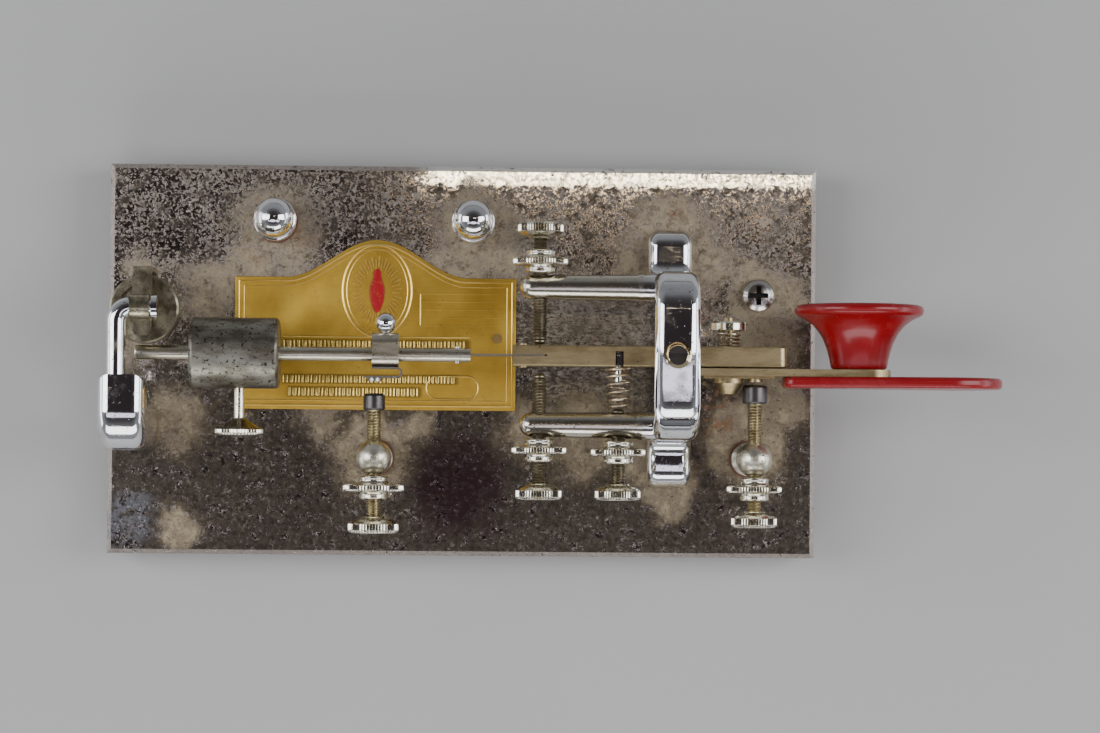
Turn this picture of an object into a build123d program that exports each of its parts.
from build123d import *
import math
import os

# Semi-automatic morse key: a rocking lever with a sprung pendulum makes the dots, a second
# lever beside it makes the dashes. Millimetres, +Z up. The model is laid out from the middle
# of the base plate, +X towards the finger pieces, +Y towards the terminals at the back, and
# every part is moved by FRAME_SHIFT at the end so that the origin is under the whole key.

# Base
BASE_LENGTH = 155.6
BASE_WIDTH = 85.7
BASE_THICKNESS = 9.5
BASE_EDGE = 1.0
FOOT_HEIGHT = 3.0
FOOT_RADIUS = 7.0
FOOT_X = 66.0
FOOT_Y = 34.0
BASE_BOTTOM = FOOT_HEIGHT
DECK = BASE_BOTTOM + BASE_THICKNESS
POCKET_DEPTH = 4.0
POCKET_ROOF = BASE_BOTTOM + POCKET_DEPTH

# The line of the lever, and the height that everything works at
LINE_Y = 0.8
AXIS_Z = DECK + 17.5
PIVOT_X = 45.4

# Fits
RUNNING = 0.05
BESIDE = 0.25
SNUG = 0.02

# Yoke
YOKE_WIDTH = 9.7
YOKE_TOP = DECK + 32.0
YOKE_LEG_OUT = 18.1
YOKE_LEG_IN = 11.7
YOKE_SHOULDER = 8.3
YOKE_INNER_SHOULDER = 4.5
YOKE_CROWN = 4.8
YOKE_FOOT_OUT = 28.4
YOKE_FOOT_THICKNESS = 4.6
YOKE_ROUND = 2.4
HORN_Y = 14.8
HORN_TIP_X = 12.2
HORN_ROOT_RADIUS = 3.2
HORN_TIP_RADIUS = 2.6

# Rocking lever
BAR_LEFT = 10.7
BAR_RIGHT = 69.4
BAR_THICKNESS = 4.4
BAR_HEIGHT = 9.0
SHAFT_RADIUS = 2.0
SHAFT_END_Z = 9.0
SPRING_SLOT_END = 18.0
MAIN_SPRING_THICKNESS = 0.4
MAIN_SPRING_HEIGHT = 8.0
MAIN_SPRING_LEFT = -3.5

# Pendulum
ROD_RADIUS = 1.5
ROD_LEFT = -70.3
ROD_RIGHT = 1.6
CLIP_X = -16.6
CLIP_WIDTH = 5.7
WEIGHT_LEFT = -58.3
WEIGHT_RIGHT = -39.3
WEIGHT_RADIUS = 7.6
WEIGHT_SCREW_X = -47.8

# Dash lever
STRIP_THICKNESS = 1.6
STRIP_RIGHT = 92.1
STRIP_HEIGHT = 9.2
LUG_THICKNESS = 1.2
LUG_RADIUS = 3.6
TENSION_X = 57.2
KNOB_X = 85.3
PADDLE_LEFT = 69.0
PADDLE_RIGHT = 116.2
PADDLE_THICKNESS = 2.4

# Adjusting screws, all along Y at AXIS_Z
STOP_X = 16.5
RETURN_X = 33.5
DOT_X = -18.9
DOT_POST_Y = -21.4
DASH_X = 62.9
DASH_POST_Y = -21.1
BALL_RADIUS = 3.85
SHANK_RADIUS = 1.6
HEAD_RADIUS = 4.9
HEAD_RIM = 2.1
HEAD_CONE = 1.5
NUT_RADIUS = 5.9
NUT_RIM = 1.8
NUT_HUB = 1.6
NUT_HUB_RADIUS = 3.2

# Terminals
TERMINAL_Y = 30.4
INSULATED_X = -41.3
GROUND_X = 2.0
TERMINAL_BALL_RADIUS = 4.35
TERMINAL_BALL_Z = DECK + 10.5
WIRE_HOLE_RADIUS = 1.1
WIRE_HOLE_Z = DECK + 3.6
STUD_RADIUS = 2.0
BUSH_FLANGE = 1.0

# Damper
DAMPER_X = -71.8
DAMPER_WIDTH = 10.0
DAMPER_FRONT_Y = -20.3
DAMPER_BACK_Y = -4.3
DAMPER_SHOULDER = 9.0
DAMPER_TOP = DECK + 32.0
DAMPER_ARM = 7.6
DAMPER_LEG = 9.3
DAMPER_ROUND = 2.8
HOOK_X = -73.2
HOOK_RADIUS = 2.05
HOOK_PIN_RADIUS = 1.5
HOOK_BEND = 3.0
HOOK_Z = DECK + 28.0
WHEEL_X = -68.2
WHEEL_Y = 10.0
WHEEL_RADIUS = 7.4
WHEEL_THICKNESS = 5.0
WHEEL_PIN_RADIUS = 1.2
FORK_WIDTH = 4.1
FORK_STRAP = 1.1
FORK_BACK_Y = 18.9
FORK_FRONT_Y = 4.1
FORK_TOP = DECK + 24.2
FORK_BOTTOM = DECK + 10.8

# Nameplate
PLATE_LEFT = -50.2
PLATE_RIGHT = 11.6
PLATE_FRONT = -10.9
PLATE_BACK = 18.2
PLATE_HUMP = 26.5
PLATE_HUMP_X = -19.0
PLATE_HUMP_HALF = 20.0
PLATE_THICKNESS = 0.5

# The key reaches from the plate's left edge to the tip of the thumb paddle
FRAME_SHIFT = Pos(-(PADDLE_RIGHT - BASE_LENGTH / 2) / 2, 0, 0)

parts = {}


def box(x0, x1, y0, y1, z0, z1):
    """A block between two corners."""
    return Pos((x0 + x1) / 2, (y0 + y1) / 2, (z0 + z1) / 2) * Box(x1 - x0, y1 - y0, z1 - z0)


def rod_z(x, y, z0, z1, radius):
    """An upright cylinder."""
    return Pos(x, y, (z0 + z1) / 2) * Cylinder(radius, z1 - z0)


def rod_y(x, y0, y1, z, radius):
    """A cylinder along Y."""
    return Pos(x, (y0 + y1) / 2, z) * Rot(90, 0, 0) * Cylinder(radius, abs(y1 - y0))


def rod_x(x0, x1, y, z, radius):
    """A cylinder along X."""
    return Pos((x0 + x1) / 2, y, z) * Rot(0, 90, 0) * Cylinder(radius, x1 - x0)


def turned(points):
    """A turned solid about Y from the corners (radius, distance) of its half section."""
    return revolve(make_face(Polyline(*points, close=True)), Axis.Y)


def facing(x, y, side, shape):
    """Puts a solid turned about Y at (x, y, AXIS_Z), its +Y end towards side (+1 or -1)."""
    turn = Rot(0, 0, 0) if side > 0 else Rot(0, 0, 180)
    return Pos(x, y, AXIS_Z) * turn * shape


def upright(x, y, z, shape):
    """Stands a solid turned about Y up along +Z at (x, y, z)."""
    return Pos(x, y, z) * Rot(90, 0, 0) * shape


def hexagon_nut(x, y, z0, z1, across, bore):
    """A hexagon nut around an upright stud."""
    prism = extrude(RegularPolygon(across / 2, 6, major_radius=False), z1 - z0)
    return Pos(x, y, z0) * prism - rod_z(x, y, z0 - 1, z1 + 1, bore)


def pan_screw_up(x, y, z_head, head_radius, head_height, z_tip, radius):
    """A pan-head screw driven upwards, with a straight slot across its head."""
    screw = rod_z(x, y, z_head, z_head + head_height, head_radius)
    screw += rod_z(x, y, z_head + head_height, z_tip, radius)
    slot = box(x - head_radius, x + head_radius, y - 0.4, y + 0.4, z_head - 1, z_head + 0.7)
    return screw - slot


def add(name, *solids):
    """Keeps the solids of one node."""
    parts[name] = list(solids)


# ---------------------------------------------------------------- base and its fittings

INSULATED_STUDS = [(INSULATED_X, TERMINAL_Y), (DOT_X, DOT_POST_Y), (DASH_X, DASH_POST_Y)]
FOOT_PLACES = [(sx * FOOT_X, sy * FOOT_Y) for sx in (-1, 1) for sy in (-1, 1)]
LEG_SCREW_Y = (YOKE_LEG_IN + YOKE_LEG_OUT) / 2
CASTING_SCREWS = [
    (PIVOT_X, LINE_Y - LEG_SCREW_Y),
    (PIVOT_X, LINE_Y + LEG_SCREW_Y),
    (DAMPER_X, DAMPER_FRONT_Y + DAMPER_LEG / 2),
]
CASTING_SCREW_RADIUS = 1.75
CASTING_HEAD_RADIUS = 3.0
CASTING_SCREW_TOP = DECK + 8.0
FOOT_SCREW_RADIUS = 1.5
FOOT_SCREW_TOP = 9.5
FOOT_SCREW_HEAD_Z = 0.7
FOOT_SCREW_HEAD = 1.4
FOOT_SCREW_HEAD_RADIUS = 3.2
BLANKING_X = 65.0
BLANKING_Y = 15.0
PIVOT_SCREW_RADIUS = 2.05
BUSH_HOLE_RADIUS = 3.6
STRAP_WIDTH = 6.0
STRAP_THICKNESS = 0.8
WASHER_THICKNESS = 0.8
PINS = [(7.5, 5.0), (-46.1, 5.0)]
PIN_RADIUS = 0.7


def strap_outline(width):
    """Plan of the brass strap that joins the three insulated studs, with round ends."""
    outline = Sketch()
    for (x0, y0), (x1, y1) in zip(INSULATED_STUDS, INSULATED_STUDS[1:]):
        length = math.hypot(x1 - x0, y1 - y0)
        angle = math.degrees(math.atan2(y1 - y0, x1 - x0))
        middle = Pos((x0 + x1) / 2, (y0 + y1) / 2) * Rot(0, 0, angle)
        outline += middle * SlotCenterToCenter(length, width)
    return outline


def base_plate():
    plate = box(
        -BASE_LENGTH / 2, BASE_LENGTH / 2, -BASE_WIDTH / 2, BASE_WIDTH / 2, BASE_BOTTOM, DECK
    )
    plate = chamfer(plate.faces().sort_by(Axis.Z)[-1].edges(), BASE_EDGE)
    plate = chamfer(plate.faces().sort_by(Axis.Z)[0].edges(), BASE_EDGE / 2)
    groove = extrude(strap_outline(STRAP_WIDTH + 4), POCKET_DEPTH)
    plate -= Pos(0, 0, BASE_BOTTOM) * groove
    for x, y in INSULATED_STUDS:
        plate -= rod_z(x, y, BASE_BOTTOM - 1, DECK + 1, BUSH_HOLE_RADIUS)
        plate -= rod_z(x, y, BASE_BOTTOM - 1, POCKET_ROOF, BUSH_HOLE_RADIUS + 3.6)
    plate -= rod_z(GROUND_X, TERMINAL_Y, BASE_BOTTOM + 1.5, DECK + 1, STUD_RADIUS + SNUG)
    for x, y in CASTING_SCREWS:
        plate -= rod_z(x, y, BASE_BOTTOM - 1, DECK + 1, CASTING_SCREW_RADIUS + 0.1)
        plate -= rod_z(x, y, BASE_BOTTOM - 1, POCKET_ROOF, CASTING_HEAD_RADIUS + 0.4)
    for x, y in FOOT_PLACES:
        plate -= rod_z(x, y, BASE_BOTTOM - 1, FOOT_SCREW_TOP + 0.5, FOOT_SCREW_RADIUS)
    plate -= rod_z(PIVOT_X, LINE_Y, BASE_BOTTOM - 1, DECK + 1, PIVOT_SCREW_RADIUS)
    plate -= rod_z(BLANKING_X, BLANKING_Y, BASE_BOTTOM + 2, DECK + 1, 1.9)
    for x, y in PINS:
        plate -= rod_z(x, y, DECK - 3, DECK + 1, PIN_RADIUS)
    return plate


def rubber_foot(x, y):
    foot = rod_z(x, y, 0, FOOT_HEIGHT, FOOT_RADIUS)
    foot = fillet(foot.edges().group_by(Axis.Z)[0], 0.6)
    foot -= rod_z(x, y, -1, FOOT_SCREW_HEAD_Z + FOOT_SCREW_HEAD, FOOT_SCREW_HEAD_RADIUS + 0.2)
    return foot - rod_z(x, y, -1, FOOT_HEIGHT + 1, FOOT_SCREW_RADIUS + 0.1)


def foot_screw(x, y):
    return pan_screw_up(
        x, y, FOOT_SCREW_HEAD_Z, FOOT_SCREW_HEAD_RADIUS, FOOT_SCREW_HEAD, FOOT_SCREW_TOP,
        FOOT_SCREW_RADIUS,
    )


def casting_screw(x, y):
    head = 2.2
    return pan_screw_up(
        x, y, POCKET_ROOF - head, CASTING_HEAD_RADIUS, head, CASTING_SCREW_TOP,
        CASTING_SCREW_RADIUS,
    )


def insulating_bush(x, y):
    """Flanged fibre sleeve between an insulated stud and the plate."""
    flange = 4.75 if x == INSULATED_X else 4.1
    bush = rod_z(x, y, DECK, DECK + BUSH_FLANGE, flange)
    bush += rod_z(x, y, POCKET_ROOF + 1.0, DECK, BUSH_HOLE_RADIUS - 0.05)
    return bush - rod_z(x, y, BASE_BOTTOM, DECK + 5, STUD_RADIUS + 0.05)


def insulating_washer(x, y):
    """Fibre washer under the plate, above the brass strap."""
    washer = rod_z(x, y, POCKET_ROOF - WASHER_THICKNESS, POCKET_ROOF, 5.0)
    return washer - rod_z(x, y, BASE_BOTTOM, DECK, STUD_RADIUS + 0.05)


def contact_strap():
    top = POCKET_ROOF - WASHER_THICKNESS
    strap = Pos(0, 0, top - STRAP_THICKNESS) * extrude(strap_outline(STRAP_WIDTH), STRAP_THICKNESS)
    for x, y in INSULATED_STUDS:
        strap -= rod_z(x, y, BASE_BOTTOM, DECK, STUD_RADIUS + 0.05)
    return strap


def post_nut(x, y):
    top = POCKET_ROOF - WASHER_THICKNESS - STRAP_THICKNESS
    return hexagon_nut(x, y, top - 1.8, top, 7.0, STUD_RADIUS + 0.03)


def contact_post(x, y):
    """Ball-headed pillar that holds a contact screw."""
    stud_end = BASE_BOTTOM + 0.4
    seat = DECK + BUSH_FLANGE
    post = rod_z(x, y, stud_end, seat, STUD_RADIUS)
    post += rod_z(x, y, seat, seat + 1.4, 3.7)
    post += Pos(x, y, seat + 2.4) * Cone(3.4, 2.4, 2.0)
    post += rod_z(x, y, seat + 1.3, AXIS_Z, 2.4)
    post += Pos(x, y, AXIS_Z) * Sphere(BALL_RADIUS)
    return post - rod_y(x, y - 6, y + 6, AXIS_Z, SHANK_RADIUS + RUNNING)


def terminal_post(x, seat, stud_end):
    """Terminal pillar with a cross hole for the wire and a thread for the ball nut."""
    post = rod_z(x, TERMINAL_Y, stud_end, seat, STUD_RADIUS)
    post += rod_z(x, TERMINAL_Y, seat, DECK + 1.9, 4.4)
    post += rod_z(x, TERMINAL_Y, DECK + 1.8, DECK + 5.4, 3.2)
    post += rod_z(x, TERMINAL_Y, DECK + 5.3, TERMINAL_BALL_Z + 1.4, 1.5)
    hole = rod_y(x, TERMINAL_Y - 6, TERMINAL_Y + 6, WIRE_HOLE_Z, WIRE_HOLE_RADIUS)
    return post - hole


def terminal_collar(x):
    """Clamping washer between the pillar and the ball nut."""
    collar = rod_z(x, TERMINAL_Y, DECK + 5.45, DECK + 6.7, 4.7)
    collar = fillet(collar.edges(), 0.4)
    return collar - rod_z(x, TERMINAL_Y, DECK, YOKE_TOP, 1.5 + RUNNING)


def ball_nut(x):
    nut = Pos(x, TERMINAL_Y, TERMINAL_BALL_Z) * Sphere(TERMINAL_BALL_RADIUS)
    nut += rod_z(x, TERMINAL_Y, DECK + 6.95, TERMINAL_BALL_Z, 2.9)
    nut -= box(x - 6, x + 6, TERMINAL_Y - 6, TERMINAL_Y + 6, DECK, DECK + 6.95)
    return nut - rod_z(x, TERMINAL_Y, DECK, TERMINAL_BALL_Z + 2.0, 1.5 + RUNNING)


def plate_outline(inset):
    """The nameplate's outline: a rectangle with an ogee hump on its back edge."""
    left, right = PLATE_LEFT + inset, PLATE_RIGHT - inset
    front, back = PLATE_FRONT + inset, PLATE_BACK - inset
    top = PLATE_HUMP - inset
    start, end = PLATE_HUMP_X - PLATE_HUMP_HALF, PLATE_HUMP_X + PLATE_HUMP_HALF
    edge = Polyline((start, back), (left, back), (left, front), (right, front), (right, back),
                    (end, back))
    rise = Spline(
        (end, back), (PLATE_HUMP_X, top), (start, back),
        tangents=[(-1, 0), (-1, 0), (-1, 0)],
    )
    return make_face(edge + rise)


def nameplate():
    plate = Pos(0, 0, DECK) * extrude(plate_outline(0), PLATE_THICKNESS)
    for x, y in PINS:
        plate -= rod_z(x, y, DECK - 1, DECK + 5, PIN_RADIUS)
    return plate


def nameplate_pin(x, y):
    top = DECK + PLATE_THICKNESS
    pin = rod_z(x, y, DECK - 2.9, top, PIN_RADIUS)
    return pin + rod_z(x, y, top, top + 0.45, 1.1)


def blanking_screw():
    """Pan-head screw with a cross recess, in the hole of the absent circuit closer."""
    head = upright(
        BLANKING_X, BLANKING_Y, DECK,
        turned([(0, 0), (3.65, 0), (3.65, 1.0), (3.3, 1.75), (2.5, 2.3), (1.3, 2.5), (0, 2.5)]),
    )
    screw = head + rod_z(BLANKING_X, BLANKING_Y, BASE_BOTTOM + 2.5, DECK, 1.9)
    for angle in (0, 90):
        slot = Box(4.2, 1.1, 2.4)
        screw -= Pos(BLANKING_X, BLANKING_Y, DECK + 2.6) * Rot(0, 0, angle) * slot
    return screw


add("base_plate", base_plate())
add("rubber_feet", *[rubber_foot(x, y) for x, y in FOOT_PLACES])
add("foot_screws", *[foot_screw(x, y) for x, y in FOOT_PLACES])
add("casting_screws", *[casting_screw(x, y) for x, y in CASTING_SCREWS])
add("insulating_bushes", *[make(x, y) for x, y in INSULATED_STUDS
                           for make in (insulating_bush, insulating_washer)])
add("contact_strap", contact_strap())
add("post_nuts", *[post_nut(x, y) for x, y in INSULATED_STUDS])
add("dot_post", contact_post(DOT_X, DOT_POST_Y))
add("dash_post", contact_post(DASH_X, DASH_POST_Y))
add(
    "terminal_posts",
    terminal_post(INSULATED_X, DECK + BUSH_FLANGE, BASE_BOTTOM + 0.4),
    terminal_post(GROUND_X, DECK, BASE_BOTTOM + 2),
)
add("insulated_terminal_collar", terminal_collar(INSULATED_X))
add("insulated_terminal_nut", ball_nut(INSULATED_X))
add("ground_terminal_collar", terminal_collar(GROUND_X))
add("ground_terminal_nut", ball_nut(GROUND_X))
add("nameplate", nameplate())
add("nameplate_pins", *[nameplate_pin(x, y) for x, y in PINS])
add("blanking_screw", blanking_screw())

# ---------------------------------------------------------------- yoke and pivots

UPPER_SCREW_BOTTOM = AXIS_Z + SHAFT_END_Z - 1.4
LOWER_SCREW_TOP = AXIS_Z - SHAFT_END_Z + 1.4
CUP_CLEARANCE = 0.1
CONE_LENGTH = 2.2
CONE_TIP_RADIUS = 0.5


def horn(side):
    """One of the two arms cast with the yoke, which carry the stop screws."""
    y = LINE_Y + side * HORN_Y
    root_x = PIVOT_X - YOKE_WIDTH / 2
    step_x = 38.0
    tip_centre = HORN_TIP_X + HORN_TIP_RADIUS
    taper = Cone(HORN_ROOT_RADIUS - 0.3, HORN_TIP_RADIUS, step_x - tip_centre)
    arm = Pos((step_x + tip_centre) / 2, y, AXIS_Z) * Rot(0, -90, 0) * taper
    arm += Pos(tip_centre, y, AXIS_Z) * Sphere(HORN_TIP_RADIUS)
    root_end = root_x + YOKE_ROUND + 0.6
    root = Cone(HORN_ROOT_RADIUS + 0.1, HORN_ROOT_RADIUS - 0.3, root_end - step_x)
    arm += Pos((root_end + step_x) / 2, y, AXIS_Z) * Rot(0, -90, 0) * root
    boss = Cone(HORN_ROOT_RADIUS, HORN_ROOT_RADIUS - 0.2, 1.0)
    return arm + Pos(step_x, y, AXIS_Z) * Rot(0, -90, 0) * boss


def yoke():
    height = YOKE_TOP - DECK
    arch = Pos(0, height / 2) * Rectangle(2 * YOKE_LEG_OUT, height)
    arch = fillet(arch.vertices().group_by(Axis.Y)[-1], YOKE_SHOULDER)
    inner_height = height - YOKE_CROWN
    inner = Pos(0, inner_height / 2) * Rectangle(2 * YOKE_LEG_IN, inner_height)
    inner = fillet(inner.vertices().group_by(Axis.Y)[-1], YOKE_INNER_SHOULDER)
    arch += Pos(0, YOKE_FOOT_THICKNESS / 2) * Rectangle(2 * YOKE_FOOT_OUT, YOKE_FOOT_THICKNESS)
    arch -= inner
    arch -= Pos(0, YOKE_FOOT_THICKNESS / 2) * Rectangle(2 * YOKE_LEG_IN, YOKE_FOOT_THICKNESS + 1)
    corners = arch.vertices().filter_by(
        lambda v: abs(v.Y - YOKE_FOOT_THICKNESS) < 0.01 and abs(abs(v.X) - YOKE_LEG_OUT) < 0.01
    )
    arch = fillet(corners, 3.2)
    foot_ends = arch.vertices().filter_by(
        lambda v: abs(v.Y - YOKE_FOOT_THICKNESS) < 0.01 and abs(abs(v.X) - YOKE_FOOT_OUT) < 0.01
    )
    arch = fillet(foot_ends, 3.8)
    body = extrude(Plane.YZ * arch, YOKE_WIDTH / 2, both=True)
    rims = body.edges().filter_by(
        lambda e: abs(abs(e.center().X) - YOKE_WIDTH / 2) < 0.01 and e.center().Z > 0.01
    )
    inner_rims = rims.filter_by(
        lambda e: abs(e.center().Y) < YOKE_LEG_IN + 0.01 and e.center().Z < inner_height + 0.01
    )
    outer_rims = ShapeList([e for e in rims if e not in inner_rims])
    body = fillet(outer_rims, YOKE_ROUND)
    rims = body.edges().filter_by(
        lambda e: abs(abs(e.center().X) - YOKE_WIDTH / 2) < 0.01
        and abs(e.center().Y) < YOKE_LEG_IN + 0.01 and 0.01 < e.center().Z < inner_height + 0.01
    )
    body = fillet(rims, 1.0)
    body = Pos(PIVOT_X, LINE_Y, DECK) * body
    for side in (-1, 1):
        body += horn(side)
    body -= rod_z(PIVOT_X, LINE_Y, AXIS_Z, YOKE_TOP + 1, PIVOT_SCREW_RADIUS)
    rim = Cone(PIVOT_SCREW_RADIUS, PIVOT_SCREW_RADIUS + 0.8, 0.8)
    body -= Pos(PIVOT_X, LINE_Y, YOKE_TOP - 0.4) * rim
    for side in (-1, 1):
        y = LINE_Y + side * LEG_SCREW_Y
        body -= rod_z(PIVOT_X, y, DECK - 1, CASTING_SCREW_TOP + 0.5, CASTING_SCREW_RADIUS)
    for x, side in ((STOP_X, 1), (STOP_X, -1), (RETURN_X, -1)):
        y = LINE_Y + side * HORN_Y
        body -= rod_y(x, y - 5, y + 5, AXIS_Z, SHANK_RADIUS + RUNNING)
    return body


def pointed_shaft(radius, tip_radius, half_length, cone_length):
    """An upright spindle with a cone at each end, centred on the pivot."""
    spindle = turned([
        (0, -half_length), (tip_radius, -half_length), (radius, -half_length + cone_length),
        (radius, half_length - cone_length), (tip_radius, half_length), (0, half_length),
    ])
    return upright(PIVOT_X, LINE_Y, AXIS_Z, spindle)


def upper_pivot_screw():
    """Grub screw in the top of the yoke, cupped for the spindle, with a driver slot."""
    top = YOKE_TOP - 1.5
    screw = rod_z(PIVOT_X, LINE_Y, UPPER_SCREW_BOTTOM, top, PIVOT_SCREW_RADIUS)
    screw -= box(PIVOT_X - 3, PIVOT_X + 3, LINE_Y - 0.4, LINE_Y + 0.4, top - 1.0, top + 1)
    return screw - pivot_room


def lower_pivot_screw():
    """Threaded pillar up through the plate, cupped for the spindle."""
    bottom = BASE_BOTTOM + 0.6
    screw = rod_z(PIVOT_X, LINE_Y, bottom, LOWER_SCREW_TOP, PIVOT_SCREW_RADIUS)
    screw -= box(PIVOT_X - 3, PIVOT_X + 3, LINE_Y - 0.4, LINE_Y + 0.4, bottom - 1, bottom + 1)
    return screw - pivot_room


pivot_room = pointed_shaft(
    SHAFT_RADIUS + CUP_CLEARANCE, CONE_TIP_RADIUS + CUP_CLEARANCE,
    SHAFT_END_Z + CUP_CLEARANCE, CONE_LENGTH,
)
add("yoke", yoke())
add("pivot_screws", upper_pivot_screw(), lower_pivot_screw())
add("pivot_shaft", pointed_shaft(SHAFT_RADIUS, CONE_TIP_RADIUS, SHAFT_END_Z, CONE_LENGTH))

# ---------------------------------------------------------------- rocking lever

BAR_FRONT = LINE_Y - BAR_THICKNESS / 2
BAR_BACK = LINE_Y + BAR_THICKNESS / 2
BAR_TOP = AXIS_Z + BAR_HEIGHT / 2
BAR_BOTTOM = AXIS_Z - BAR_HEIGHT / 2
RIVET_RADIUS = 0.8
RIVET_X = 13.0
RIVET_HEIGHTS = [AXIS_Z - 2.3, AXIS_Z + 2.3]
GUIDE_PIN_RADIUS = 0.85
GUIDE_PIN_TIP_Y = -4.6
TENSION_SCREW_RADIUS = 1.1


def main_lever():
    bar = box(BAR_LEFT, BAR_RIGHT, BAR_FRONT, BAR_BACK, BAR_BOTTOM, BAR_TOP)
    bar = fillet(bar.edges().filter_by(Axis.Y).group_by(Axis.X)[-1], 1.5)
    bar = chamfer(bar.edges().filter_by(Axis.X), 0.25)
    half_slot = MAIN_SPRING_THICKNESS / 2
    bar -= box(BAR_LEFT - 1, SPRING_SLOT_END, LINE_Y - half_slot, LINE_Y + half_slot,
               BAR_BOTTOM - 1, BAR_TOP + 1)
    for z in RIVET_HEIGHTS:
        bar -= rod_y(RIVET_X, BAR_FRONT - 1, BAR_BACK + 1, z, RIVET_RADIUS)
    bar -= rod_z(PIVOT_X, LINE_Y, BAR_BOTTOM - 1, BAR_TOP + 1, SHAFT_RADIUS)
    bar -= rod_y(TENSION_X, BAR_FRONT - 1, BAR_BACK + 1, AXIS_Z, TENSION_SCREW_RADIUS + 0.6)
    bar -= box(RETURN_X - GUIDE_PIN_RADIUS, RETURN_X + GUIDE_PIN_RADIUS, BAR_FRONT - 1,
               LINE_Y + 1.0, AXIS_Z, BAR_TOP + 1)
    bar -= rod_y(RETURN_X, BAR_FRONT - 1, LINE_Y + 1.0, AXIS_Z, GUIDE_PIN_RADIUS)
    return bar


def main_spring():
    """The flat blade that joins the lever to the pendulum."""
    half, rise = MAIN_SPRING_THICKNESS / 2, MAIN_SPRING_HEIGHT / 2
    blade = box(MAIN_SPRING_LEFT, SPRING_SLOT_END - 0.5, LINE_Y - half, LINE_Y + half,
                AXIS_Z - rise, AXIS_Z + rise)
    for z in RIVET_HEIGHTS:
        blade -= rod_y(RIVET_X, BAR_FRONT, BAR_BACK, z, RIVET_RADIUS)
    return blade - rod_y(ROD_PIN_X, BAR_FRONT, BAR_BACK, AXIS_Z, ROD_PIN_RADIUS + 0.1)


def spring_guide_pin():
    """Peg in the lever's slot that centres the return spring."""
    peg = rod_y(RETURN_X, GUIDE_PIN_TIP_Y, LINE_Y + 1.0, AXIS_Z, GUIDE_PIN_RADIUS)
    riser = box(RETURN_X - 0.6, RETURN_X + 0.6, BAR_FRONT + 0.2, LINE_Y + 0.7, AXIS_Z, BAR_TOP)
    return peg + riser


def coil_spring(start_y, end_y, start_radius, end_radius, turns, wire):
    """A coil along Y of round wire."""
    length = end_y - start_y
    angle = math.degrees(math.atan((end_radius - start_radius) / length))
    helix = Helix(
        pitch=length / turns, height=length, radius=start_radius, center=(0, 0, 0),
        direction=(0, 0, 1), cone_angle=angle,
    )
    section = Plane(origin=helix @ 0, z_dir=helix % 0) * Circle(wire)
    return Pos(0, start_y, 0) * Rot(-90, 0, 0) * sweep(section, path=helix, is_frenet=True)


ROD_PIN_X = -1.2
ROD_PIN_RADIUS = 0.6
RETURN_WIRE = 0.32
DASH_SPRING_WIRE = 0.28
RETURN_SPRING_END = -10.0
DASH_NUT_Y = 6.4

add("main_lever", main_lever())
add("main_spring", main_spring())
add("spring_rivets", *[rod_y(RIVET_X, BAR_FRONT - 0.3, BAR_BACK + 0.3, z, RIVET_RADIUS)
                       for z in RIVET_HEIGHTS])
add("spring_guide_pin", spring_guide_pin())
add(
    "return_spring",
    Pos(RETURN_X, 0, AXIS_Z)
    * coil_spring(RETURN_SPRING_END, BAR_FRONT - 0.4, 1.7, 2.85, 5, RETURN_WIRE),
)
add(
    "dash_tension_spring",
    Pos(TENSION_X, 0, AXIS_Z)
    * coil_spring(BAR_BACK + 0.35, DASH_NUT_Y - 0.45, 2.3, 2.3, 3, DASH_SPRING_WIRE),
)

# ---------------------------------------------------------------- pendulum and weight

CLIP_BACK = 5.4
CLIP_FRONT = -1.9
CLIP_HALF_HEIGHT = 3.2
CONTACT_SPRING_THICKNESS = 0.4
CONTACT_SPRING_HALF_HEIGHT = 2.4
DOT_SPRING_LEG_Y = -4.1
WEIGHT_SCREW_NECK = 1.15
WEIGHT_HEAD_START = -13.6
WEIGHT_HEAD_END = -16.9


def pendulum_rod():
    rod = rod_x(ROD_LEFT, ROD_RIGHT, LINE_Y, AXIS_Z, ROD_RADIUS)
    rod = fillet(rod.edges().group_by(Axis.X)[0], 0.5)
    half_slot = MAIN_SPRING_THICKNESS / 2
    rod -= box(MAIN_SPRING_LEFT, ROD_RIGHT + 1, LINE_Y - half_slot, LINE_Y + half_slot,
               AXIS_Z - 5, AXIS_Z + 5)
    return rod - rod_y(ROD_PIN_X, LINE_Y - 3, LINE_Y + 3, AXIS_Z, ROD_PIN_RADIUS)


def contact_clip():
    """Clamp block on the rod that carries the dot contact spring."""
    half = CLIP_WIDTH / 2
    clip = box(CLIP_X - half, CLIP_X + half, CLIP_FRONT, CLIP_BACK,
               AXIS_Z - CLIP_HALF_HEIGHT, AXIS_Z + CLIP_HALF_HEIGHT)
    clip = fillet(clip.edges().filter_by(Axis.X), 2.4)
    clip -= rod_x(CLIP_X - 5, CLIP_X + 5, LINE_Y, AXIS_Z, ROD_RADIUS + SNUG)
    return clip - rod_y(CLIP_X, LINE_Y, CLIP_BACK + 1, AXIS_Z, 1.0)


def clip_screw():
    screw = rod_y(CLIP_X, LINE_Y + ROD_RADIUS, CLIP_BACK + 1.0, AXIS_Z, 1.0)
    return screw + Pos(CLIP_X, CLIP_BACK + 2.08, AXIS_Z) * Sphere(2.3)


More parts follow.
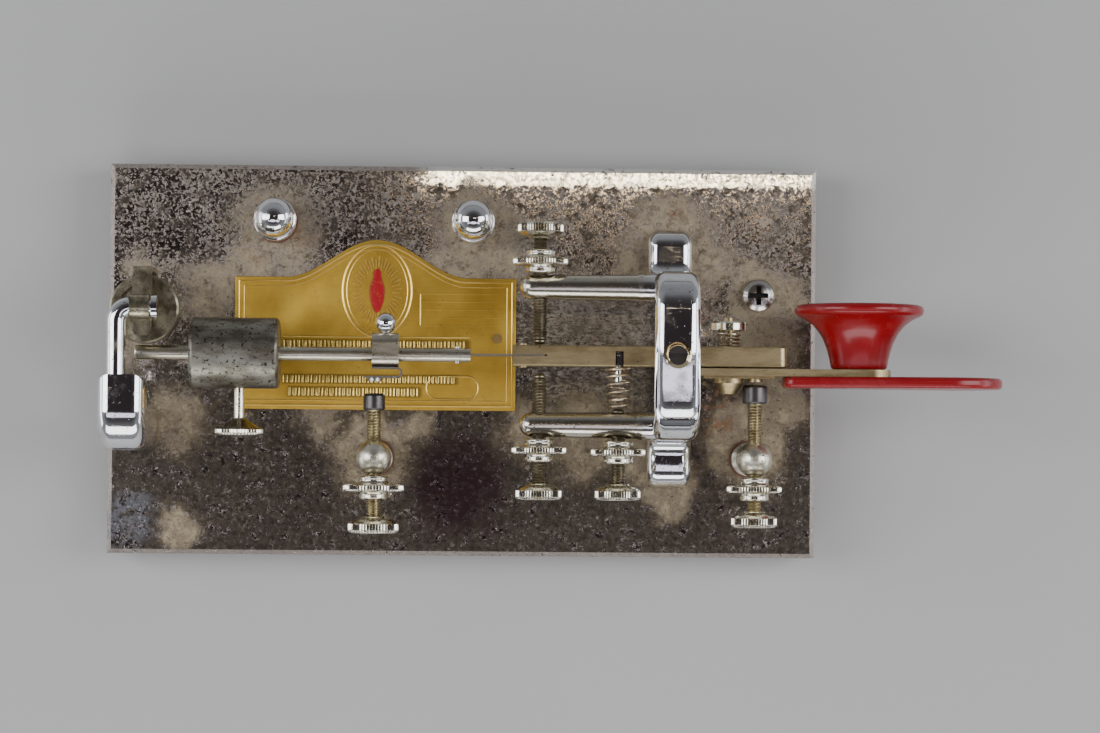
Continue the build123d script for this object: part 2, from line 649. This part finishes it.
def dot_contact_spring():
    """Hairpin of thin strip under the clip, bent forward to the dot contact."""
    left, right = DOT_X - 1.9, CLIP_X + 2.6
    bend = (CLIP_FRONT - DOT_SPRING_LEG_Y) / 2
    path = Polyline((left + 1.5, CLIP_FRONT - 0.25), (right, CLIP_FRONT - 0.25))
    path += RadiusArc((right, CLIP_FRONT - 0.25), (right, DOT_SPRING_LEG_Y), bend - 0.12)
    path += Line((right, DOT_SPRING_LEG_Y), (left, DOT_SPRING_LEG_Y))
    strip = offset(path, CONTACT_SPRING_THICKNESS / 2, side=Side.BOTH)
    height = 2 * CONTACT_SPRING_HALF_HEIGHT
    return Pos(0, 0, AXIS_Z - height / 2) * extrude(make_face(strip), height)


def speed_weight():
    weight = rod_x(WEIGHT_LEFT, WEIGHT_RIGHT, LINE_Y, AXIS_Z, WEIGHT_RADIUS)
    weight = chamfer(weight.edges().filter_by(GeomType.CIRCLE), 0.5)
    weight -= rod_x(WEIGHT_LEFT - 1, WEIGHT_RIGHT + 1, LINE_Y, AXIS_Z, ROD_RADIUS + RUNNING)
    hole = WEIGHT_SCREW_NECK + RUNNING
    return weight - rod_y(WEIGHT_SCREW_X, LINE_Y - 20, LINE_Y, AXIS_Z, hole)


def thumb_head(radius, rim, cone, neck, bore, bore_depth):
    """Knurled head with a coned back, from 0 at its neck towards +Y."""
    end = cone + rim
    head = turned([
        (0, 0), (neck, 0), (radius - 1.3, 0.5), (radius - 0.4, cone - 0.3), (radius, cone),
        (radius, end - 0.5),
        (radius - 0.5, end), (radius - 1.6, end), (radius - 2.2, end - 0.4), (0, end - 0.4),
    ])
    return head - Pos(0, bore_depth / 2, 0) * Rot(90, 0, 0) * Cylinder(bore, bore_depth)


def weight_screw():
    neck = rod_y(WEIGHT_SCREW_X, LINE_Y - ROD_RADIUS - 0.15, WEIGHT_HEAD_START, AXIS_Z,
                 WEIGHT_SCREW_NECK)
    length = WEIGHT_HEAD_START - WEIGHT_HEAD_END
    head = turned([
        (0, 0), (1.9, 0), (4.3, length - 1.9), (5.2, length - 1.7), (5.2, length - 0.5),
        (4.7, length), (0, length),
    ])
    return neck + facing(WEIGHT_SCREW_X, WEIGHT_HEAD_START, -1, head)


add("pendulum_rod", pendulum_rod())
add("rod_pin", rod_y(ROD_PIN_X, LINE_Y - 1.8, LINE_Y + 1.8, AXIS_Z, ROD_PIN_RADIUS))
add("contact_clip", contact_clip())
add("clip_screw", clip_screw())
add(
    "dot_contact_spring",
    dot_contact_spring(),
    rod_y(DOT_X, DOT_SPRING_LEG_Y - 0.9, DOT_SPRING_LEG_Y - 0.2, AXIS_Z, 1.5),
)
add("speed_weight", speed_weight())
add("weight_screw", weight_screw())

# ---------------------------------------------------------------- dash lever and finger pieces

STRIP_BACK = BAR_FRONT - BESIDE
STRIP_FRONT = STRIP_BACK - STRIP_THICKNESS
STRIP_LEFT = PIVOT_X - 3.4
DASH_SPRING_FRONT = STRIP_FRONT - 0.5
PADDLE_FRONT = STRIP_FRONT - PADDLE_THICKNESS
KNOB_LENGTH = 14.1
KNOB_RIM_RADIUS = 13.9
PADDLE_SCREW_X = 75.0


def dash_lever():
    half = STRIP_HEIGHT / 2
    strip = box(STRIP_LEFT, STRIP_RIGHT, STRIP_FRONT, STRIP_BACK, AXIS_Z - half, AXIS_Z + half)
    strip = fillet(strip.edges().filter_by(Axis.Y).group_by(Axis.X)[-1], 4.0)
    for side in (-1, 1):
        near = AXIS_Z + side * (BAR_HEIGHT / 2 + BESIDE)
        far = near + side * LUG_THICKNESS
        low, high = min(near, far), max(near, far)
        strip += box(STRIP_LEFT, PIVOT_X + 3.4, STRIP_FRONT, LINE_Y, low, high)
        strip += rod_z(PIVOT_X, LINE_Y, low, high, LUG_RADIUS)
        edge = AXIS_Z + side * half
        strip += box(STRIP_LEFT, PIVOT_X + 3.4, STRIP_FRONT, STRIP_BACK,
                     min(edge - side, far), max(edge - side, far))
    strip -= rod_z(PIVOT_X, LINE_Y, AXIS_Z - 10, AXIS_Z + 10, SHAFT_RADIUS + RUNNING)
    strip -= rod_y(TENSION_X, STRIP_FRONT - 1, STRIP_BACK + 1, AXIS_Z, TENSION_SCREW_RADIUS)
    for x in (KNOB_X, PADDLE_SCREW_X):
        strip -= rod_y(x, STRIP_FRONT - 1, STRIP_BACK + 1, AXIS_Z, 1.5)
    return strip


def dash_contact_spring():
    blade = box(51.6, 66.9, DASH_SPRING_FRONT, STRIP_FRONT, AXIS_Z - 3.2, AXIS_Z + 3.2)
    return blade - rod_y(TENSION_X, -8, 0, AXIS_Z, TENSION_SCREW_RADIUS)


def finger_knob():
    """Trumpet-shaped knob, its wide face away from the lever."""
    base = make_face(
        Polyline((0, 0), (5.4, 0), (6.2, 0.8))
        + Spline((6.2, 0.8), (6.9, 3.9), (8.1, 7.2), (9.9, 9.6), (12.2, 11.0), (13.2, 11.6))
        + Polyline((13.2, 11.6), (KNOB_RIM_RADIUS, 12.5), (KNOB_RIM_RADIUS, 13.2), (13.2, 13.9),
                   (12.0, 14.0))
        + Spline((12.0, 14.0), (6.0, 13.2), (0, 12.9), tangents=[(-1, 0), (-1, 0)])
        + Line((0, 12.9), (0, 0))
    )
    knob = revolve(base, Axis.Y)
    knob -= Pos(0, 3.5, 0) * Rot(90, 0, 0) * Cylinder(1.5, 7.0)
    return facing(KNOB_X, STRIP_BACK, 1, knob)


def thumb_paddle():
    """Flat tongue of moulded plastic that widens towards its round end."""
    root, wide = 5.6, 12.0
    end_x = PADDLE_RIGHT - wide
    upper = Spline((PADDLE_LEFT, root), (82.0, 7.4), (end_x, wide), tangents=[(1, 0), (1, 0)])
    lower = Spline((end_x, -wide), (82.0, -7.4), (PADDLE_LEFT, -root), tangents=[(-1, 0), (-1, 0)])
    end = ThreePointArc((end_x, wide), (PADDLE_RIGHT, 0), (end_x, -wide))
    back = Line((PADDLE_LEFT, -root), (PADDLE_LEFT, root))
    outline = make_face(upper + end + lower + back)
    paddle = extrude(Plane.XZ * outline, PADDLE_THICKNESS)
    paddle = fillet(paddle.faces().sort_by(Axis.Y)[0].edges(), 0.7)
    paddle = Pos(0, STRIP_FRONT, AXIS_Z) * paddle
    for x in (KNOB_X, PADDLE_SCREW_X):
        paddle -= finger_screw_body(x, 1.5 + SNUG)
    return paddle


def finger_screw_body(x, radius):
    """Countersunk screw through the paddle and the strip."""
    reach = STRIP_BACK + (6.5 if x == KNOB_X else 0)
    head = Pos(x, PADDLE_FRONT + 0.75, AXIS_Z) * Rot(90, 0, 0) * Cone(radius, 2.9, 1.5)
    return head + rod_y(x, PADDLE_FRONT + 0.5, reach, AXIS_Z, radius)


def finger_screw(x):
    slot = box(x - 4, x + 4, PADDLE_FRONT - 1, PADDLE_FRONT + 0.6, AXIS_Z - 0.35, AXIS_Z + 0.35)
    return finger_screw_body(x, 1.5) - slot


def dash_tension_screw():
    """Screw with a coned head in front of the strip, through the lever to the thumb nut."""
    shank = rod_y(TENSION_X, DASH_SPRING_FRONT, DASH_NUT_Y + 2.9, AXIS_Z, TENSION_SCREW_RADIUS)
    head = turned([(0, 0), (3.1, 0), (3.1, 1.0), (1.75, 3.3), (0, 3.3)])
    return shank + facing(TENSION_X, DASH_SPRING_FRONT, -1, head)


def dash_tension_nut():
    nut = turned([(0, 0), (3.0, 0), (3.85, 0.3), (3.85, 1.7), (3.4, 2.1), (0, 2.1)])
    nut -= Rot(90, 0, 0) * Cylinder(TENSION_SCREW_RADIUS + RUNNING, 20)
    return facing(TENSION_X, DASH_NUT_Y, 1, nut)


add("dash_lever", dash_lever())
add(
    "dash_contact_spring",
    dash_contact_spring(),
    rod_y(DASH_X, DASH_SPRING_FRONT - 0.7, DASH_SPRING_FRONT, AXIS_Z, 1.7),
)
add("finger_knob", finger_knob())
add("thumb_paddle", thumb_paddle())
add("finger_piece_screws", finger_screw(KNOB_X), finger_screw(PADDLE_SCREW_X))
add("dash_tension_screw", dash_tension_screw())
add("dash_tension_nut", dash_tension_nut())

# ---------------------------------------------------------------- adjusting screws


def lock_nut(radius, hub):
    """Knurled lock nut with a hub each side, from 0 towards +Y."""
    end = 2 * hub + NUT_RIM
    nut = turned([
        (0, 0), (NUT_HUB_RADIUS - 0.6, 0), (NUT_HUB_RADIUS, 0.5), (NUT_HUB_RADIUS, hub - 0.1),
        (radius - 0.5, hub), (radius, hub + 0.4), (radius, hub + NUT_RIM - 0.4),
        (radius - 0.5, hub + NUT_RIM), (NUT_HUB_RADIUS, hub + NUT_RIM + 0.1),
        (NUT_HUB_RADIUS, end - 0.5), (NUT_HUB_RADIUS - 0.6, end), (0, end),
    ])
    return nut - Rot(90, 0, 0) * Cylinder(SHANK_RADIUS + RUNNING, 40)


def adjuster(name, x, side, tip_y, nut_y, head_y, nose, size=1.0):
    """A threaded shank, its knurled head and its lock nut, as three nodes.

    side is the head's end (+1 towards +Y); nose is (radius, length) of the shank's tip.
    """
    radius, length = nose
    reach = abs(head_y - tip_y) + HEAD_CONE + 0.6
    shank = turned([
        (0, 0), (radius - 0.3, 0), (radius, 0.3), (radius, length), (SHANK_RADIUS, length),
        (SHANK_RADIUS, reach), (0, reach),
    ])
    add(f"{name}_screw", facing(x, tip_y, side, shank))
    head = thumb_head(HEAD_RADIUS * size, HEAD_RIM, HEAD_CONE, 2.4, SHANK_RADIUS + RUNNING,
                      HEAD_CONE + 0.8)
    add(f"{name}_head", facing(x, head_y, side, head))
    add(f"{name}_lock_nut", facing(x, nut_y, side, lock_nut(NUT_RADIUS * size, NUT_HUB)))


STOP_NOSE = (1.3, 1.2)
adjuster("back_stop", STOP_X, 1, BAR_BACK + BESIDE, 18.6, 26.0, STOP_NOSE)
adjuster("front_stop", STOP_X, -1, BAR_FRONT - 1.6, -17.0, -26.6, STOP_NOSE)
adjuster("return_spring", RETURN_X, -1, RETURN_SPRING_END - 0.45, -17.3, -26.6, STOP_NOSE)
adjuster("dot", DOT_X, -1, -7.6, -25.3, -34.0, (2.35, 3.6), 1.1)
adjuster("dash", DASH_X, -1, -5.1, -25.0, -32.2, (2.7, 4.0))

# ---------------------------------------------------------------- damper


def damper_bracket():
    """Cast post that leans over the rod, with a round shoulder."""
    top = DAMPER_TOP - DECK
    arm_low = top - DAMPER_ARM
    inner_y = DAMPER_FRONT_Y + DAMPER_LEG
    side = Pos((DAMPER_FRONT_Y + DAMPER_BACK_Y) / 2, top / 2) * Rectangle(
        DAMPER_BACK_Y - DAMPER_FRONT_Y, top
    )
    shoulder = side.vertices().group_by(Axis.Y)[-1].sort_by(Axis.X)[0]
    side = fillet(shoulder, DAMPER_SHOULDER)
    gap = Pos((inner_y + DAMPER_BACK_Y) / 2 + 1, arm_low / 2) * Rectangle(
        DAMPER_BACK_Y - inner_y + 2, arm_low
    )
    side -= gap
    inside = side.vertices().filter_by(
        lambda v: abs(v.X - inner_y) < 0.01 and abs(v.Y - arm_low) < 0.01
    )
    side = fillet(inside, 2.5)
    bracket = extrude(Plane.YZ * side, DAMPER_WIDTH / 2, both=True)
    rims = bracket.edges().filter_by(
        lambda e: abs(abs(e.center().X) - DAMPER_WIDTH / 2) < 0.01 and e.center().Z > 0.1
    )
    inner_rims = rims.filter_by(
        lambda e: e.center().Z < arm_low + 0.01 and e.center().Y > DAMPER_FRONT_Y + 2.4
    )
    outer_rims = ShapeList([e for e in rims if e not in inner_rims])
    bracket = fillet(outer_rims, DAMPER_ROUND)
    rims = bracket.edges().filter_by(
        lambda e: abs(abs(e.center().X) - DAMPER_WIDTH / 2) < 0.01
        and e.center().Z < arm_low + 0.01 and e.center().Y > DAMPER_FRONT_Y + 2.4
        and e.center().Z > 0.1
    )
    bracket = fillet(rims, 1.0)
    bracket = Pos(DAMPER_X, 0, DECK) * bracket
    x, y = CASTING_SCREWS[2]
    bracket -= rod_z(x, y, DECK - 1, CASTING_SCREW_TOP + 0.5, CASTING_SCREW_RADIUS)
    hole = rod_y(HOOK_X, DAMPER_BACK_Y - 5, DAMPER_BACK_Y + 1, HOOK_Z, HOOK_RADIUS + SNUG)
    return bracket - hole


def damper_hook():
    """Round bar out of the bracket, bent over the rod, with a thinner end for the fork."""
    bend_start = WHEEL_Y - HOOK_BEND
    shoulder = WHEEL_X - FORK_WIDTH / 2 - 0.3
    straight = Line((HOOK_X, DAMPER_BACK_Y - 5, HOOK_Z), (HOOK_X, bend_start, HOOK_Z))
    inset = HOOK_BEND * (1 - math.sqrt(0.5))
    corner = (HOOK_X + inset, WHEEL_Y - inset, HOOK_Z)
    bend = ThreePointArc((HOOK_X, bend_start, HOOK_Z), corner,
                         (HOOK_X + HOOK_BEND, WHEEL_Y, HOOK_Z))
    path = straight + bend
    bar = sweep(Plane(origin=path @ 0, z_dir=path % 0) * Circle(HOOK_RADIUS), path=path)
    bar -= box(shoulder, WHEEL_X, WHEEL_Y - 6, WHEEL_Y + 6, HOOK_Z - 5, HOOK_Z + 5)
    end = WHEEL_X + FORK_WIDTH / 2 + 0.4
    bar += rod_x(shoulder - 1.5, end, WHEEL_Y, HOOK_Z, HOOK_PIN_RADIUS)
    return bar + rod_x(end, end + 1.2, WHEEL_Y, HOOK_Z, 2.6)


def damper_fork():
    """Strap hung on the hook, forked above and below the wheel."""
    left, right = WHEEL_X - FORK_WIDTH / 2, WHEEL_X + FORK_WIDTH / 2
    fork = box(left, right, FORK_FRONT_Y, FORK_BACK_Y, FORK_TOP - FORK_STRAP, FORK_TOP)
    fork += box(left, right, FORK_FRONT_Y, FORK_BACK_Y, FORK_BOTTOM, FORK_BOTTOM + FORK_STRAP)
    fork += box(left, right, FORK_BACK_Y - FORK_STRAP, FORK_BACK_Y, FORK_BOTTOM, FORK_TOP)
    fork = fillet(fork.edges().filter_by(Axis.Z).group_by(Axis.Y)[0], 1.5)
    fork += box(left, right, WHEEL_Y - 1.3, WHEEL_Y + 1.3, FORK_TOP - 0.2, HOOK_Z)
    fork += rod_x(left, right, WHEEL_Y, HOOK_Z, 2.7)
    fork -= rod_x(left - 1, right + 1, WHEEL_Y, HOOK_Z, HOOK_PIN_RADIUS + RUNNING)
    return fork - rod_z(WHEEL_X, WHEEL_Y, DECK, FORK_TOP - 0.1, WHEEL_PIN_RADIUS)


def damper_wheel():
    half = WHEEL_THICKNESS / 2
    hub = 2.8
    wheel = turned([
        (0, -half - 0.8), (hub, -half - 0.8), (hub, -half + 1.0), (5.4, -half + 1.0),
        (5.4, -half), (WHEEL_RADIUS - 0.4, -half), (WHEEL_RADIUS, -half + 0.4),
        (WHEEL_RADIUS, half - 0.4), (WHEEL_RADIUS - 0.4, half), (5.4, half), (5.4, half - 1.0),
        (hub, half - 1.0), (hub, half + 0.8), (0, half + 0.8),
    ])
    wheel -= Rot(90, 0, 0) * Cylinder(WHEEL_PIN_RADIUS + RUNNING, 40)
    return upright(WHEEL_X, WHEEL_Y, AXIS_Z, wheel)


add("damper_bracket", damper_bracket())
add("damper_hook", damper_hook())
add("damper_fork", damper_fork())
add("wheel_pin", rod_z(WHEEL_X, WHEEL_Y, FORK_BOTTOM, FORK_TOP - 0.1, WHEEL_PIN_RADIUS))
add("damper_wheel", damper_wheel())

# ---------------------------------------------------------------- write the parts

os.makedirs("parts", exist_ok=True)
for name, solids in parts.items():
    placed = [solid for shape in solids for solid in (FRAME_SHIFT * shape).solids()]
    shape = placed[0] if len(placed) == 1 else Compound(placed)
    export_step(shape, f"parts/{name}.step")
print(len(parts), "nodes")
